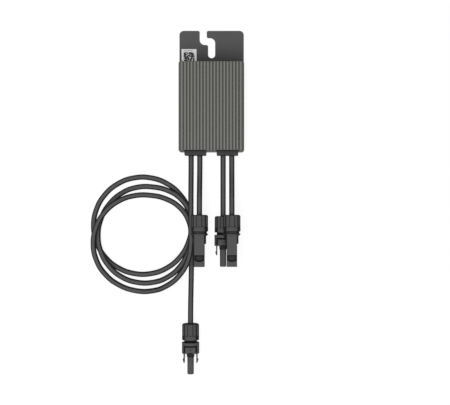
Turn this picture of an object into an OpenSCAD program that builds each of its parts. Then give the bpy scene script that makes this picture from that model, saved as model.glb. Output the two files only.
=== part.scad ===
// Power optimizer for a solar module: a ribbed housing on a slotted mounting plate, with four leads.
// It lies on the plate's back. The bolt's seat in the slot is the origin, X runs across,
// Y runs towards the slotted end and Z stands out of the plate.

/* [Housing] */
// Width of the housing and of the plate
body_w = 75; // [68:0.5:90]
// Length of the housing along its ribs
body_l = 102.5; // [98:0.5:130]
// Depth from the plate's back to the rib crests
body_d = 28; // [26:0.5:36]
// Wall of the casting
wall = 2.2; // [1.8:0.1:2.8]
// Radius of the casting's outer edges
edge_r = 2; // [1:0.25:2.5]
// Number of cooling ribs
rib_count = 19; // [9:1:20]
// Width of a rib at its crest
rib_crest_w = 1.85; // [1.4:0.05:2.1]
// How much wider a rib is at its foot
rib_draft = 0.4; // [0.1:0.05:0.7]
// Height of the ribs
rib_h = 3.5; // [2:0.25:4.5]
// Plain margin beside the outermost ribs
rib_margin = 3.05; // [2.8:0.05:6]
// Bevel at the ribs' lower ends
rib_end_bevel = 1.4; // [0.6:0.1:2.4]
// Bevel at the ribs' upper ends
rib_top_bevel = 0.6; // [0.3:0.1:1.5]

/* [Mounting plate] */
// Thickness of the sheet
plate_t = 2; // [1.5:0.1:3]
// Height of the plate above the bolt's seat
hanger_h = 27.7; // [25:0.1:36]
// Distance from the bolt's seat to the housing
seat_to_housing = 11.5; // [11.2:0.1:20]
// Radius of the plate's upper corners
plate_r = 5; // [2:0.5:8]
// Width of the bolt slot
slot_w = 8.2; // [6.6:0.1:9]
// Sideways step from the entry leg to the seat
slot_step = 9.8; // [8.8:0.1:14]
// Height of the step's middle over the seat
slot_rise = 15.35; // [13:0.05:17]
// Radius of the slot's outer bends
slot_outer_r = 6; // [2:0.5:7]
// Radius of the slot's inner bends and mouth
slot_inner_r = 2; // [1:0.25:3]
// Side of the square label
label_w = 17.4; // [10:0.1:17.5]
// Thickness of the label
label_t = 0.15; // [0.1:0.05:0.4]
// Distance from the label to the plate's edge
label_margin = 2.5; // [1:0.1:4]

/* [Electronics] */
// Thickness of the circuit board
board_t = 1.6; // [1:0.1:2.4]
// Thickness of the thermal pad on the plate
pad_t = 1.7; // [0.8:0.1:2.5]
// Height of the power transistors
transistor_h = 2.3; // [1.6:0.1:3]
// Side of the square inductor core
core_w = 28; // [24:0.5:30]
// Radius of the inductor's middle post
core_post_r = 5.5; // [4:0.25:7]
// Free height over the tallest parts
part_headroom = 0.8; // [0.5:0.1:2]
// Length of a film capacitor
capacitor_l = 15; // [11:0.5:16]
// Width of a film capacitor
capacitor_w = 7; // [5:0.5:8]

/* [Glands] */
// Height of the leads' exits over the plate's back
gland_z = 14; // [13:0.5:15]
// Distance of each gland from the middle
gland_x = 18.4; // [17:0.1:21]
// Width of a gland
gland_w = 25; // [22:0.5:27]
// Height of a gland where it sits in the wall
gland_h = 14; // [12:0.5:15]
// Height of a gland's outer block
gland_face_h = 22; // [17:0.5:22]
// How far a gland stands out of the housing
gland_out = 5; // [3:0.5:8]

/* [Leads] */
// Diameter of a lead
lead_d = 6.2; // [5.4:0.1:6.3]
// Distance between the two leads of a gland
lead_pitch = 10; // [9.8:0.1:12]
// Diameter of a lead's copper core
core_d = 2.6; // [1.8:0.1:3.2]

/* [Connectors] */
// Diameter of a cap nut over its plain rim
nut_d = 19.5; // [18:0.1:19.6]
// Length of a cap nut
nut_l = 18.1; // [17.5:0.1:22]
// Number of flutes round a cap nut
flute_count = 14; // [8:1:18]
// Depth of the flutes
flute_depth = 0.5; // [0.3:0.1:0.8]
// Diameter of the contact pins and sockets
contact_d = 4; // [3:0.1:4.4]
// Diameter of a finger connector's probe
probe_d = 7.5; // [7:0.1:8.2]
// Free length of the probe below its collar
probe_l = 24.2; // [20:0.1:28]
// Diameter of a finger connector's collar
collar_d = 20; // [19.6:0.1:20]
// Length of a finger connector's collar
collar_l = 12.6; // [11:0.1:16]
// Reach of the latch fingers below the collar
finger_l = 11; // [8:0.1:14]
// Width of a shell connector across its latch windows
shell_w = 11.7; // [11.4:0.1:13]
// Depth of a shell connector from window to window
shell_depth = 18.5; // [18:0.1:20]
// Length of a shell connector below its flange
shell_l = 36.2; // [35:0.1:44]

/* [Hidden] */
$fn = 96;

// How far a cutting shape runs past the faces that it cuts
over = 1;
// Room round a piece that drops into its seat, and round a fitted round piece
seat_gap = 0.1;
round_gap = 0.05;

// Colours
coated_metal = [0.33, 0.33, 0.33];
rib_grey = [0.47, 0.47, 0.45];
black_plastic = [0.28, 0.28, 0.28];
black_rubber = [0.16, 0.16, 0.16];
steel = [0.72, 0.72, 0.72];
copper = [0.80, 0.50, 0.30];

// Levels along the housing and through its depth
housing_top = -seat_to_housing;
housing_end = housing_top - body_l;
housing_mid = (housing_top + housing_end) / 2;
valley_z = body_d - rib_h;
cavity_z = valley_z - wall;
inner_w = body_w - 2 * wall;
rib_pitch = (body_w - 2 * rib_margin - rib_crest_w) / (rib_count - 1);

// Posts of the casting for the plate's screws: one in each upper corner, one halfway down
// each side and one between the glands, each sunk a little into the wall
post_r = 3.5;
post_sink = 0.8;
post_x = inner_w / 2 - post_r + post_sink;
plate_posts = [
    [-post_x, housing_top - wall - post_r + post_sink],
    [post_x, housing_top - wall - post_r + post_sink],
    [-post_x, housing_mid],
    [post_x, housing_mid],
    [0, housing_end + wall + post_r - post_sink]
];
plate_screw_r = 1.5;
plate_screw_l = 12;
screw_head_r = 2.9;
pilot_extra = 2;

// Circuit board and the posts that carry it
board_z = plate_t + pad_t + transistor_h;
board_top_z = board_z + board_t;
board_gap = 1.5;
board_end_room = 8.3;
board_w = inner_w - 2 * board_gap;
board_top = housing_top - wall - board_end_room;
board_end = housing_end + wall + board_end_room;
board_post_r = 2.75;
board_post_in = 4.2;
terminal_room = 8;
board_screw_r = 1.2;
board_screw_l = 8;
board_head_r = 2.3;
board_head_h = 1.4;
board_posts = [
    for (side = [-1, 1], y = [board_top - board_post_in, board_end + board_post_in + terminal_room])
        [side * (board_w / 2 - board_post_in), y]
];
part_h = cavity_z - part_headroom - board_top_z;
capacitor_h = part_h - 1.5;

// Where the leads leave, and where their insulation ends inside
lead_r = lead_d / 2;
lead_inner = gland_x - lead_pitch / 2;
lead_outer = gland_x + lead_pitch / 2;
lead_places = [-lead_outer, -lead_inner, lead_inner, lead_outer];
exit_y = housing_end - gland_out;
gland_neck_w = gland_w - 4;
gland_neck_top = gland_z + gland_h / 2 - 1.5;
gland_lip_l = 2;
strip_y = housing_end + wall + gland_lip_l + 1.8;
terminal_w = 6.5;
terminal_l = terminal_room;
terminal_over = 3;

// Connector stack, measured from the tip: the finger type's collar ends at its neck, the shell
// type's body at its flange, and both carry a nut on a spigot
nut_r = nut_d / 2;
neck_l = 3.5;
flange_t = 1;
spigot_r = 6.8;
spigot_l = 11;
seal_r = 5.2;
seal_top = 15.2;
lead_stop = 0.8;
finger_nut_z = probe_l + collar_l + neck_l;
shell_nut_z = shell_l + flange_t + neck_l - 0.3;
barrel_r = contact_d / 2 + 0.65;

// Heights of the loose coil: the lowest pass lies on the surface, each pass over it lies
// a lead's diameter and a little room higher
pass_base = 3.2;
pass_step = 6.35;
pass_top = pass_base + 3 * pass_step;
rest_z = 10.05;

// Each turn of the coil in its order from the housing: how far it reaches to the left, how far
// its middle lies below the exit, and half its length along the housing's own length
turn_reach = [112.5, 108, 114];
turn_drop = [100.7, 90.9, 80.4];
turn_half = [56, 56, 56.5];
turn_points = 18;
// How many passes lie under the start of each turn
turn_under = [3, 2, 1];
// Where a turn climbs over the one below on the left: angle, half of its flat, half of its foot, height
left_climb = [[200, 25, 95, 12.6], [150, 20, 75, 6.5], [150, 20, 75, 0]];
// The same on the right, where the turns pass over each other: half of the flat, half of the foot
right_flat = 38;
right_foot = 103;

// Routes from each exit: sideways, along and height over the plate's back
long_start = [
    [0, -12, 14.4], [0, -26, 16.5], [0, -42, 19.8], [0, -58, 21.8], [0, -74, pass_top], [0, -88, pass_top]
];
long_tail = [
    [0, -80.4, 3.2], [0, -100, 3.2], [-0.1, -120, 3.2], [-0.3, -140, 3.9], [-0.6, -160, 6.3],
    [-0.8, -178, 9.2], [-0.8, -193.3, rest_z]
];
left_tail = [[0, -10, 14.4], [0, -22, 17.2], [0, -35, 22.6], [0, -48, 28], [0, -58, 30.3], [0, -67.4, 30.8]];
rear_tail = [[0, -14, 13.8], [0, -30, 12.5], [0, -46, 10.8], [0, -58, 10.1], [0, -69.2, rest_z]];
front_tail = [[0, -10, 14.3], [0, -22, 16.6], [0, -35, 21.2], [0, -48, 25.9], [0, -58, 28], [0, -67.4, 28.5]];

// Steps of a smooth climb from 0 to 1
function climb(t) = let (s = min(1, max(0, t))) s * s * (3 - 2 * s);

// A flat-topped hump of a given height round an angle
function hump(angle, middle, flat, foot, height) =
    height * climb((foot - abs(angle - middle)) / (foot - flat));

// A point of one turn, clockwise from its right side as seen from the ribs
function turn_point(turn, angle) =
    let (
        following = min(turn + 1, len(turn_reach) - 1),
        drop = turn_drop[turn] + (turn_drop[following] - turn_drop[turn]) * climb((angle - 270) / 90),
        left = left_climb[turn]
    )
    [
        turn_reach[turn] / 2 * (cos(angle) - 1),
        -drop - turn_half[turn] * sin(angle),
        pass_base
            + hump(angle, 0, right_flat, right_foot, turn_under[turn] * pass_step)
            + hump(angle, left[0], left[1], left[2], left[3])
            + hump(angle, 360, right_flat, right_foot, (turn_under[turn] - 1) * pass_step)
    ];

long_coil = [
    for (turn = [0:len(turn_reach) - 1], i = [0:turn_points - 1]) turn_point(turn, 360 * i / turn_points)
];

// A lead's whole route: out of the housing, along its own points and into its connector
function lead_route(x, tail) =
    let (last = tail[len(tail) - 1])
    concat(
        [[x, strip_y, gland_z], [x, exit_y, gland_z]],
        [for (p = tail) [x + p.x, exit_y + p.y, p.z]],
        [[x + last.x, exit_y + last.y - nut_l + lead_stop, last.z]]
    );

// The middle of a connector's nut where the lead enters it
function lead_end(x, tail) = let (last = tail[len(tail) - 1]) [x + last.x, exit_y + last.y, last.z];

lead_sides = 10;
function unit(v) = v / norm(v);
function heading(route, i) = unit(route[min(i + 1, len(route) - 1)] - route[max(i - 1, 0)]);

// The corners of a lead's section at one point of its route
function lead_ring(route, i) =
    let (
        along = heading(route, i),
        side = unit(cross([0, 0, 1], along)),
        up = cross(along, side)
    )
    [
        for (k = [0:lead_sides - 1])
            let (a = 360 * k / lead_sides) route[i] + lead_r * (cos(a) * side + sin(a) * up)
    ];

// A lead swept along its route
module lead(route) {
    last = len(route) - 1;
    points = [for (i = [0:last]) each lead_ring(route, i)];
    sides = [
        for (i = [0:last - 1], k = [0:lead_sides - 1])
            let (a = i * lead_sides + k, b = i * lead_sides + (k + 1) % lead_sides)
            [a, a + lead_sides, b + lead_sides, b]
    ];
    start = [for (k = [0:lead_sides - 1]) k];
    end = [for (k = [lead_sides - 1:-1:0]) last * lead_sides + k];
    color(black_rubber) polyhedron(points, concat([start], [end], sides));
}

// The sliver between a square corner and its rounding, at the origin
module corner_sliver(r) {
    difference() {
        square(r);
        translate([r, r]) circle(r);
    }
}

// A rectangle from one corner to the other, with a radius at its lower and at its upper corners
module rounded_rect(low, high, r_low, r_high) {
    difference() {
        translate(low) square(high - low);
        translate(low) corner_sliver(r_low);
        translate([high.x, low.y]) rotate(90) corner_sliver(r_low);
        translate(high) rotate(180) corner_sliver(r_high);
        translate([low.x, high.y]) rotate(270) corner_sliver(r_high);
    }
}

// Lays a section drawn in X and Z along the housing, from one end to the other
module along_housing(from, to) {
    translate([0, to, 0]) rotate([90, 0, 0]) linear_extrude(to - from) children();
}

// One drafted rib on the valley level
module rib_section() {
    foot_w = rib_crest_w + rib_draft;
    polygon([
        [-foot_w / 2, -wall / 2], [foot_w / 2, -wall / 2], [foot_w / 2, 0],
        [rib_crest_w / 2, rib_h], [-rib_crest_w / 2, rib_h], [-foot_w / 2, 0]
    ]);
}

// Outside of the casting: the ribbed section, cut to the rounded plan and bevelled at the rib ends
module housing_outside() {
    intersection() {
        along_housing(housing_end, housing_top) union() {
            rounded_rect([-body_w / 2, plate_t - over], [body_w / 2, valley_z], over / 2, edge_r);
            for (i = [0:rib_count - 1])
                translate([(i - (rib_count - 1) / 2) * rib_pitch, valley_z]) rib_section();
        }
        translate([0, 0, plate_t]) linear_extrude(body_d)
            rounded_rect([-body_w / 2, housing_end], [body_w / 2, housing_top], edge_r, edge_r);
        translate([-body_w, 0, 0]) rotate([90, 0, 90]) linear_extrude(2 * body_w) polygon([
            [housing_end, 0], [housing_top, 0],
            [housing_top, body_d - rib_top_bevel], [housing_top - rib_top_bevel, body_d],
            [housing_end + rib_end_bevel, body_d], [housing_end, body_d - rib_end_bevel]
        ]);
    }
}

// Opening for a gland in the lower wall, open towards the plate
module gland_notch() {
    translate([-gland_neck_w / 2, housing_end - over, plate_t - over])
        cube([gland_neck_w, wall + 2 * over, gland_neck_top - plate_t + over]);
}

module ribbed_housing() {
    color(rib_grey) difference() {
        union() {
            difference() {
                housing_outside();
                translate([0, 0, plate_t - over]) linear_extrude(cavity_z - plate_t + over)
                    rounded_rect(
                        [-inner_w / 2, housing_end + wall], [inner_w / 2, housing_top - wall],
                        edge_r / 2, edge_r / 2
                    );
                for (side = [-1, 1]) translate([side * gland_x, 0, 0]) gland_notch();
            }
            for (p = plate_posts)
                translate([p.x, p.y, plate_t]) cylinder(r = post_r, h = cavity_z - plate_t + wall / 2);
            for (p = board_posts)
                translate([p.x, p.y, board_top_z])
                    cylinder(r = board_post_r, h = cavity_z - board_top_z + wall / 2);
        }
        for (p = plate_posts)
            translate([p.x, p.y, plate_t - over])
                cylinder(r = plate_screw_r, h = plate_screw_l - plate_t + pilot_extra + over);
        for (p = board_posts)
            translate([p.x, p.y, board_top_z - over])
                cylinder(r = board_screw_r, h = board_screw_l - board_t + pilot_extra + over);
    }
}

// The S-shaped slot: seat, leg, sideways step and entry leg, with all bends rounded
module slot_outline() {
    half = slot_w / 2;
    difference() {
        union() {
            circle(half);
            translate([-half, 0]) square([slot_w, slot_rise + half]);
            translate([-slot_step - half, slot_rise - half]) square([slot_step + slot_w, slot_w]);
            translate([-slot_step - half, slot_rise - half])
                square([slot_w, hanger_h - slot_rise + half + over]);
            translate([-slot_step + half, slot_rise + half]) corner_sliver(slot_inner_r);
            translate([-half, slot_rise - half]) rotate(180) corner_sliver(slot_inner_r);
            translate([-slot_step - half, hanger_h]) rotate(180) corner_sliver(slot_inner_r);
            translate([-slot_step + half, hanger_h]) rotate(270) corner_sliver(slot_inner_r);
        }
        translate([-slot_step - half, slot_rise - half]) corner_sliver(slot_outer_r);
        translate([half, slot_rise + half]) rotate(180) corner_sliver(slot_outer_r);
    }
}

module mounting_plate() {
    color(coated_metal) difference() {
        linear_extrude(plate_t)
            rounded_rect([-body_w / 2, housing_end], [body_w / 2, hanger_h], edge_r, plate_r);
        translate([0, 0, -over]) linear_extrude(plate_t + 2 * over) slot_outline();
        for (p = plate_posts) translate([p.x, p.y, 0]) {
            translate([0, 0, -over]) cylinder(r = plate_screw_r + seat_gap, h = plate_t + 2 * over);
            cylinder(r1 = screw_head_r, r2 = plate_screw_r + seat_gap, h = screw_head_r - plate_screw_r);
        }
    }
}

// Countersunk screws, driven from the back and flush with it
module plate_screws() {
    head_h = screw_head_r - plate_screw_r;
    socket_r = 1.1;
    socket_depth = 1;
    color(steel) for (p = plate_posts) translate([p.x, p.y, 0]) difference() {
        union() {
            cylinder(r1 = screw_head_r - seat_gap, r2 = plate_screw_r - seat_gap, h = head_h);
            cylinder(r = plate_screw_r - seat_gap / 2, h = plate_screw_l);
        }
        translate([0, 0, -over]) cylinder(r = socket_r, h = socket_depth + over, $fn = 6);
    }
}

// Square label beside the slot, its lower edge just above the housing
module id_label() {
    label_gap = 0.5;
    color("white") translate([-body_w / 2 + label_margin, housing_top + label_gap, plate_t])
        cube([label_w, label_w, label_t]);
}

module circuit_board() {
    color([0.10, 0.32, 0.18]) translate([0, 0, board_z]) linear_extrude(board_t) difference() {
        translate([-board_w / 2, board_end]) square([board_w, board_top - board_end]);
        for (side = [-1, 1]) translate([side * post_x, housing_mid]) circle(post_r + board_gap / 2);
        for (p = board_posts) translate(p) circle(board_screw_r + seat_gap);
    }
}

// Pan-head screws through the board into the casting's posts
module board_screws() {
    color(steel) for (p = board_posts) translate([p.x, p.y, board_z]) {
        translate([0, 0, -board_head_h]) cylinder(r = board_head_r, h = board_head_h);
        cylinder(r = board_screw_r - seat_gap / 2, h = board_screw_l);
    }
}

// Inductor: a square ferrite core, open at two sides, with a round middle post and a copper winding
core_plate = 2.5;
core_rise = 8;
core_leg_w = 5;
core_y = housing_mid + core_rise;
winding_r = core_w / 2 - 2;
core_open_w = core_w - 2 * core_leg_w;

module inductor_core() {
    color([0.22, 0.22, 0.24]) translate([0, core_y, board_top_z]) {
        difference() {
            translate([-core_w / 2, -core_w / 2, 0]) cube([core_w, core_w, part_h]);
            translate([0, 0, core_plate]) cylinder(r = winding_r + seat_gap, h = part_h - 2 * core_plate);
            translate([-core_open_w / 2, -core_w, core_plate])
                cube([core_open_w, 2 * core_w, part_h - 2 * core_plate]);
        }
        translate([0, 0, core_plate / 2]) cylinder(r = core_post_r, h = part_h - core_plate);
    }
}

module inductor_winding() {
    color(copper) translate([0, core_y, board_top_z + core_plate + seat_gap]) difference() {
        cylinder(r = winding_r, h = part_h - 2 * core_plate - 2 * seat_gap);
        translate([0, 0, -over]) cylinder(r = core_post_r + seat_gap, h = part_h);
    }
}

// A row of three film capacitors across the board
module capacitor_row(y) {
    spacing = capacitor_l + 3;
    color([0.55, 0.50, 0.30]) for (i = [-1:1])
        translate([i * spacing - capacitor_l / 2, y - capacitor_w / 2, board_top_z])
            cube([capacitor_l, capacitor_w, capacitor_h]);
}

module input_capacitors() {
    capacitor_row(core_y + core_w / 2 + capacitor_w / 2 + 2);
}

module output_capacitors() {
    capacitor_row(core_y - core_w / 2 - capacitor_w / 2 - 2);
}

// Four transistors under the board, pressed to the plate through one soft pad
transistor_w = 10;
transistor_pitch = 13;
pad_margin = 2;

module power_transistors() {
    color(black_plastic) for (i = [-1.5:1:1.5])
        translate([i * transistor_pitch - transistor_w / 2, core_y - transistor_w / 2, plate_t + pad_t])
            cube([transistor_w, transistor_w, transistor_h]);
}

module thermal_pad() {
    pad_w = 3 * transistor_pitch + transistor_w + 2 * pad_margin;
    pad_l = transistor_w + 2 * pad_margin;
    color([0.62, 0.66, 0.72]) translate([-pad_w / 2, core_y - pad_l / 2, plate_t])
        cube([pad_w, pad_l, pad_t]);
}

chip_w = 9;
chip_t = 1.2;
transformer_w = 11;
side_part_x = (core_w + board_w) / 4;

module controller_chip() {
    color(black_plastic) translate([-side_part_x - chip_w / 2, core_y - chip_w / 2, board_top_z])
        cube([chip_w, chip_w, chip_t]);
}

// Ring core that couples the control signal to the leads, lying on the board
module signal_transformer() {
    ring_r = transformer_w / 2;
    ring_h = 6;
    color([0.30, 0.42, 0.34]) translate([side_part_x, core_y, board_top_z]) difference() {
        cylinder(r = ring_r, h = ring_h);
        translate([0, 0, -over]) cylinder(r = ring_r / 2, h = ring_h + 2 * over);
    }
}

// Clamp blocks on the board's edge, one on each lead's copper core
module cable_terminals() {
    color(steel) for (x = lead_places) difference() {
        translate([x - terminal_w / 2, board_end, board_top_z])
            cube([terminal_w, terminal_l, gland_z + terminal_over - board_top_z]);
        translate([x, board_end + terminal_l + over, gland_z]) rotate([90, 0, 0])
            cylinder(d = core_d + 2 * round_gap, h = terminal_l + 2 * over);
    }
}

module copper_cores() {
    color(copper) for (x = lead_places)
        translate([x, board_end + terminal_l, gland_z]) rotate([90, 0, 0])
            cylinder(d = core_d, h = board_end + terminal_l - strip_y);
}

// Rubber block in the lower wall: a tapered outer part, a neck in the notch and an inner lip
module gland() {
    taper = 0.5;
    bevel = 0.8;
    lip_w = gland_neck_w + 2.5;
    lip_h = gland_h - 3;
    color(black_rubber) difference() {
        union() {
            translate([0, 0, gland_z - gland_face_h / 2]) linear_extrude(gland_face_h) polygon([
                [-gland_w / 2, housing_end], [gland_w / 2, housing_end],
                [gland_w / 2 - taper, exit_y + bevel], [gland_w / 2 - taper - bevel, exit_y],
                [-gland_w / 2 + taper + bevel, exit_y], [-gland_w / 2 + taper, exit_y + bevel]
            ]);
            translate([-gland_neck_w / 2 + seat_gap, housing_end - over, plate_t + seat_gap])
                cube([gland_neck_w - 2 * seat_gap, wall + 2 * over, gland_neck_top - plate_t - 2 * seat_gap]);
            translate([-lip_w / 2, housing_end + wall, gland_z - lip_h / 2])
                cube([lip_w, gland_lip_l, lip_h]);
        }
        for (side = [-1, 1])
            translate([side * lead_pitch / 2, strip_y, gland_z]) rotate([90, 0, 0])
                cylinder(r = lead_r + round_gap, h = strip_y - exit_y + over);
    }
}

module left_gland() {
    translate([-gland_x, 0, 0]) gland();
}

module right_gland() {
    translate([gland_x, 0, 0]) gland();
}

long_route = concat(long_start, long_coil, long_tail);

module long_lead() {
    lead(lead_route(-lead_outer, long_route));
}

module left_lead() {
    lead(lead_route(-lead_inner, left_tail));
}

module rear_lead() {
    lead(lead_route(lead_inner, rear_tail));
}

module front_lead() {
    lead(lead_route(lead_outer, front_tail));
}

// Puts a connector on a lead's end: it is drawn upright, tip down, with its nut from nut_z up
module on_lead(end, nut_z) {
    translate([end.x, end.y - nut_z - nut_l, end.z]) rotate([-90, 0, 0]) children();
}

// Cap nut: a plain rim, wide flutes above it, a rounded shoulder and a stepped bore for spigot and seal
module cap_nut() {
    rim_l = 4.2;
    rim_over = 0.6;
    shoulder_r = 2;
    flute_r = 4;
    flute_foot = 0.4;
    mouth = 1;
    body_r = nut_r - rim_over;
    hole_r = lead_r + 3 * seat_gap;
    color(black_plastic) difference() {
        rotate(90 + 180 / flute_count) rotate_extrude() difference() {
            union() {
                square([nut_r, rim_l]);
                rounded_half(body_r, nut_l, shoulder_r);
            }
            translate([-over, -over]) square([spigot_r + seat_gap + over, spigot_l + seat_gap + over]);
            translate([-over, -over]) square([seal_r + seat_gap + over, seal_top + seat_gap + over]);
            translate([-over, -over]) square([hole_r + over, nut_l + 2 * over]);
            polygon([
                [0, nut_l - mouth], [hole_r, nut_l - mouth],
                [hole_r + mouth + over, nut_l + over], [0, nut_l + over]
            ]);
        }
        for (k = [0:flute_count - 1]) rotate(90 + 360 * k / flute_count)
            translate([body_r + flute_r - flute_depth, 0, rim_l + flute_foot])
                cylinder(r = flute_r, h = nut_l);
    }
}

// Half section of a round bar with a rounded upper edge
module rounded_half(r, h, edge) {
    difference() {
        square([r, h]);
        translate([r, h]) rotate(180) corner_sliver(edge);
    }
}

// Soft sleeve that the nut squeezes onto the lead
module cable_seal() {
    color([0.10, 0.10, 0.10]) translate([0, 0, lead_stop]) difference() {
        cylinder(r = seal_r, h = seal_top - lead_stop);
        translate([0, 0, -over]) cylinder(r = lead_r + round_gap, h = seal_top + 2 * over);
    }
}

// Threaded neck of a connector body, from the nut's rim up, with room for the seal
module spigot(neck_r) {
    translate([0, 0, -neck_l - over]) cylinder(r = neck_r, h = neck_l + over);
    translate([0, 0, -over]) cylinder(r = spigot_r, h = spigot_l + over);
}

module spigot_bore() {
    translate([0, 0, lead_stop]) cylinder(r = seal_r + round_gap, h = spigot_l + over);
}

// Latch finger with an outward barb, drawn on the right side
finger_t = 1.5;
finger_in = 6.6;
finger_w = 6;

module latch_finger() {
    barb = 0.9;
    barb_low = 3.2;
    barb_high = 4.2;
    barb_back = 4.6;
    tip_taper = 0.3;
    tip_l = 1;
    tip_z = probe_l - finger_l;
    finger_out = finger_in + finger_t;
    rotate([90, 0, 0]) linear_extrude(finger_w, center = true) polygon([
        [finger_in, probe_l + over], [finger_out, probe_l + over],
        [finger_out, tip_z + barb_back], [finger_out + barb, tip_z + barb_high],
        [finger_out + barb, tip_z + barb_low], [finger_out - tip_taper, tip_z],
        [finger_in + tip_taper, tip_z], [finger_in, tip_z + tip_l]
    ]);
}

// Finger connector: probe, two latch fingers, a round collar with a flat panel on two sides, and a neck
neck_slim = 7.3;
panel_out = 7.6;
panel_w = 11.6;
groove_w = 1.9;
groove_foot = 1.4;
collar_lip = 3.2;

// The groove round three sides of the raised panel on each flat
module groove_outline() {
    groove_l = collar_l - collar_lip - groove_foot;
    translate([0, groove_foot]) difference() {
        translate([-panel_w / 2 - groove_w, 0]) square([panel_w + 2 * groove_w, groove_l]);
        translate([-panel_w / 2, -over]) square([panel_w, groove_l - groove_w + over]);
    }
}

// What is cut on one side of the collar: the flat below the lip, the groove round the panel, an arch
// over the probe and a small dimple
module panel_cuts() {
    groove_depth = 2.6;
    arch_r = 4.5;
    arch_drop = 3;
    arch_depth = 2;
    dimple_r = 0.7;
    dimple_depth = 0.4;
    translate([-collar_d, panel_out, probe_l - over])
        cube([2 * collar_d, collar_d, collar_l - collar_lip + over]);
    translate([0, panel_out + over, probe_l]) rotate([90, 0, 0]) {
        linear_extrude(groove_depth + over) groove_outline();
        translate([0, -arch_drop]) cylinder(r = arch_r, h = arch_depth + over);
        translate([0, collar_l / 3]) cylinder(r = dimple_r, h = dimple_depth + over);
    }
}

module finger_body() {
    tip_bevel = 0.6;
    color(black_plastic) difference() {
        union() {
            cylinder(d1 = probe_d - 2 * tip_bevel, d2 = probe_d, h = tip_bevel);
            translate([0, 0, tip_bevel]) cylinder(d = probe_d, h = probe_l - tip_bevel + over);
            translate([0, 0, probe_l]) cylinder(d = collar_d, h = collar_l);
            for (side = [0, 1]) mirror([side, 0, 0]) latch_finger();
            translate([0, 0, finger_nut_z]) spigot(neck_slim);
        }
        for (face = [0, 1]) mirror([0, face, 0]) panel_cuts();
        translate([0, 0, -over]) cylinder(r = barrel_r + round_gap, h = finger_nut_z + lead_stop + 2 * over);
        translate([0, 0, finger_nut_z]) spigot_bore();
    }
}

// Lipped sealing ring at the root of the probe
module seal_ring() {
    ring_l = 4.2;
    band_t = 0.45;
    lip_r = 0.45;
    color([0.08, 0.08, 0.08]) translate([0, 0, probe_l - ring_l]) rotate_extrude() {
        translate([probe_d / 2, 0]) square([band_t, ring_l]);
        for (k = [0:2]) translate([probe_d / 2 + band_t, ring_l * (k + 0.5) / 3]) circle(lip_r, $fn = 32);
    }
}

// Socket contact: an open tube below, a crimp barrel above
module socket_contact() {
    mouth_z = 1.5;
    bore_l = 14;
    color(steel) translate([0, 0, mouth_z]) difference() {
        cylinder(r = barrel_r, h = finger_nut_z + lead_stop - mouth_z);
        translate([0, 0, -over]) cylinder(d = contact_d, h = bore_l + over);
    }
}

// Shell connector: a flat-sided shell with finger channels and latch windows, a round shoulder,
// a flange and a neck
socket_r = 4.75;
socket_l = 24.5;
shoulder_r = 7.6;
shoulder_l = 10.5;
neck_wide = 8.5;
flange_r = 9.8;
flange_cone = 2;
window_low = 5.6;
window_high = 13.3;

// A latch window's outline: straight at the top and the sides, bowed at the bottom
module window_outline() {
    bow_r = 9.5;
    side = 0.5;
    intersection() {
        translate([-shell_w / 2 + side, window_low]) square([shell_w - 2 * side, window_high - window_low]);
        translate([0, window_low + bow_r]) circle(bow_r);
    }
}

module shell_body() {
    channel_w = finger_w + 0.6;
    channel_in = finger_in - 0.4;
    channel_t = finger_t + 0.7;
    window_depth = shell_depth / 2 - channel_in - channel_t / 4;
    color(black_plastic) difference() {
        union() {
            linear_extrude(shell_l)
                rounded_rect([-shell_w / 2, -shell_depth / 2], [shell_w / 2, shell_depth / 2], 1, 1);
            translate([0, 0, shell_l - shoulder_l]) cylinder(r = shoulder_r, h = shoulder_l);
            translate([0, 0, shell_l - flange_cone])
                cylinder(r1 = shoulder_r, r2 = flange_r, h = flange_cone);
            translate([0, 0, shell_l]) cylinder(r = flange_r, h = flange_t);
            translate([0, 0, shell_nut_z]) spigot(neck_wide);
        }
        translate([0, 0, -over]) cylinder(r = socket_r, h = socket_l + over);
        for (face = [0, 1]) mirror([0, face, 0]) {
            translate([-channel_w / 2, channel_in, -over]) cube([channel_w, channel_t, window_high + over]);
            translate([0, shell_depth / 2 + over, 0]) rotate([90, 0, 0])
                linear_extrude(window_depth + over) window_outline();
        }
        cylinder(r = barrel_r + round_gap, h = shell_nut_z + lead_stop + over);
        translate([0, 0, shell_nut_z]) spigot_bore();
    }
}

// Pin contact: a round-nosed pin in the shell, a crimp barrel behind it
module pin_contact() {
    tip_z = 5;
    nose_l = 1;
    shoulder_z = socket_l - 1.5;
    color(steel) {
        translate([0, 0, tip_z]) cylinder(d1 = contact_d - 2 * nose_l, d2 = contact_d, h = nose_l);
        translate([0, 0, tip_z + nose_l]) cylinder(d = contact_d, h = shoulder_z - tip_z - nose_l);
        translate([0, 0, shoulder_z]) cylinder(r = barrel_r, h = shell_nut_z + lead_stop - shoulder_z);
    }
}

module long_place() {
    on_lead(lead_end(-lead_outer, long_route), finger_nut_z) children();
}

module left_place() {
    on_lead(lead_end(-lead_inner, left_tail), shell_nut_z) children();
}

module rear_place() {
    on_lead(lead_end(lead_inner, rear_tail), finger_nut_z) children();
}

module front_place() {
    on_lead(lead_end(lead_outer, front_tail), shell_nut_z) children();
}

// A nut or a seal at its height on either type of connector
module at_nut(nut_z) {
    translate([0, 0, nut_z]) children();
}

module long_nut() {
    long_place() at_nut(finger_nut_z) cap_nut();
}

module long_body() {
    long_place() finger_body();
}

module long_seal() {
    long_place() at_nut(finger_nut_z) cable_seal();
}

module long_socket() {
    long_place() socket_contact();
}

module long_ring() {
    long_place() seal_ring();
}

module left_nut() {
    left_place() at_nut(shell_nut_z) cap_nut();
}

module left_body() {
    left_place() shell_body();
}

module left_seal() {
    left_place() at_nut(shell_nut_z) cable_seal();
}

module left_pin() {
    left_place() pin_contact();
}

module rear_nut() {
    rear_place() at_nut(finger_nut_z) cap_nut();
}

module rear_body() {
    rear_place() finger_body();
}

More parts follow.
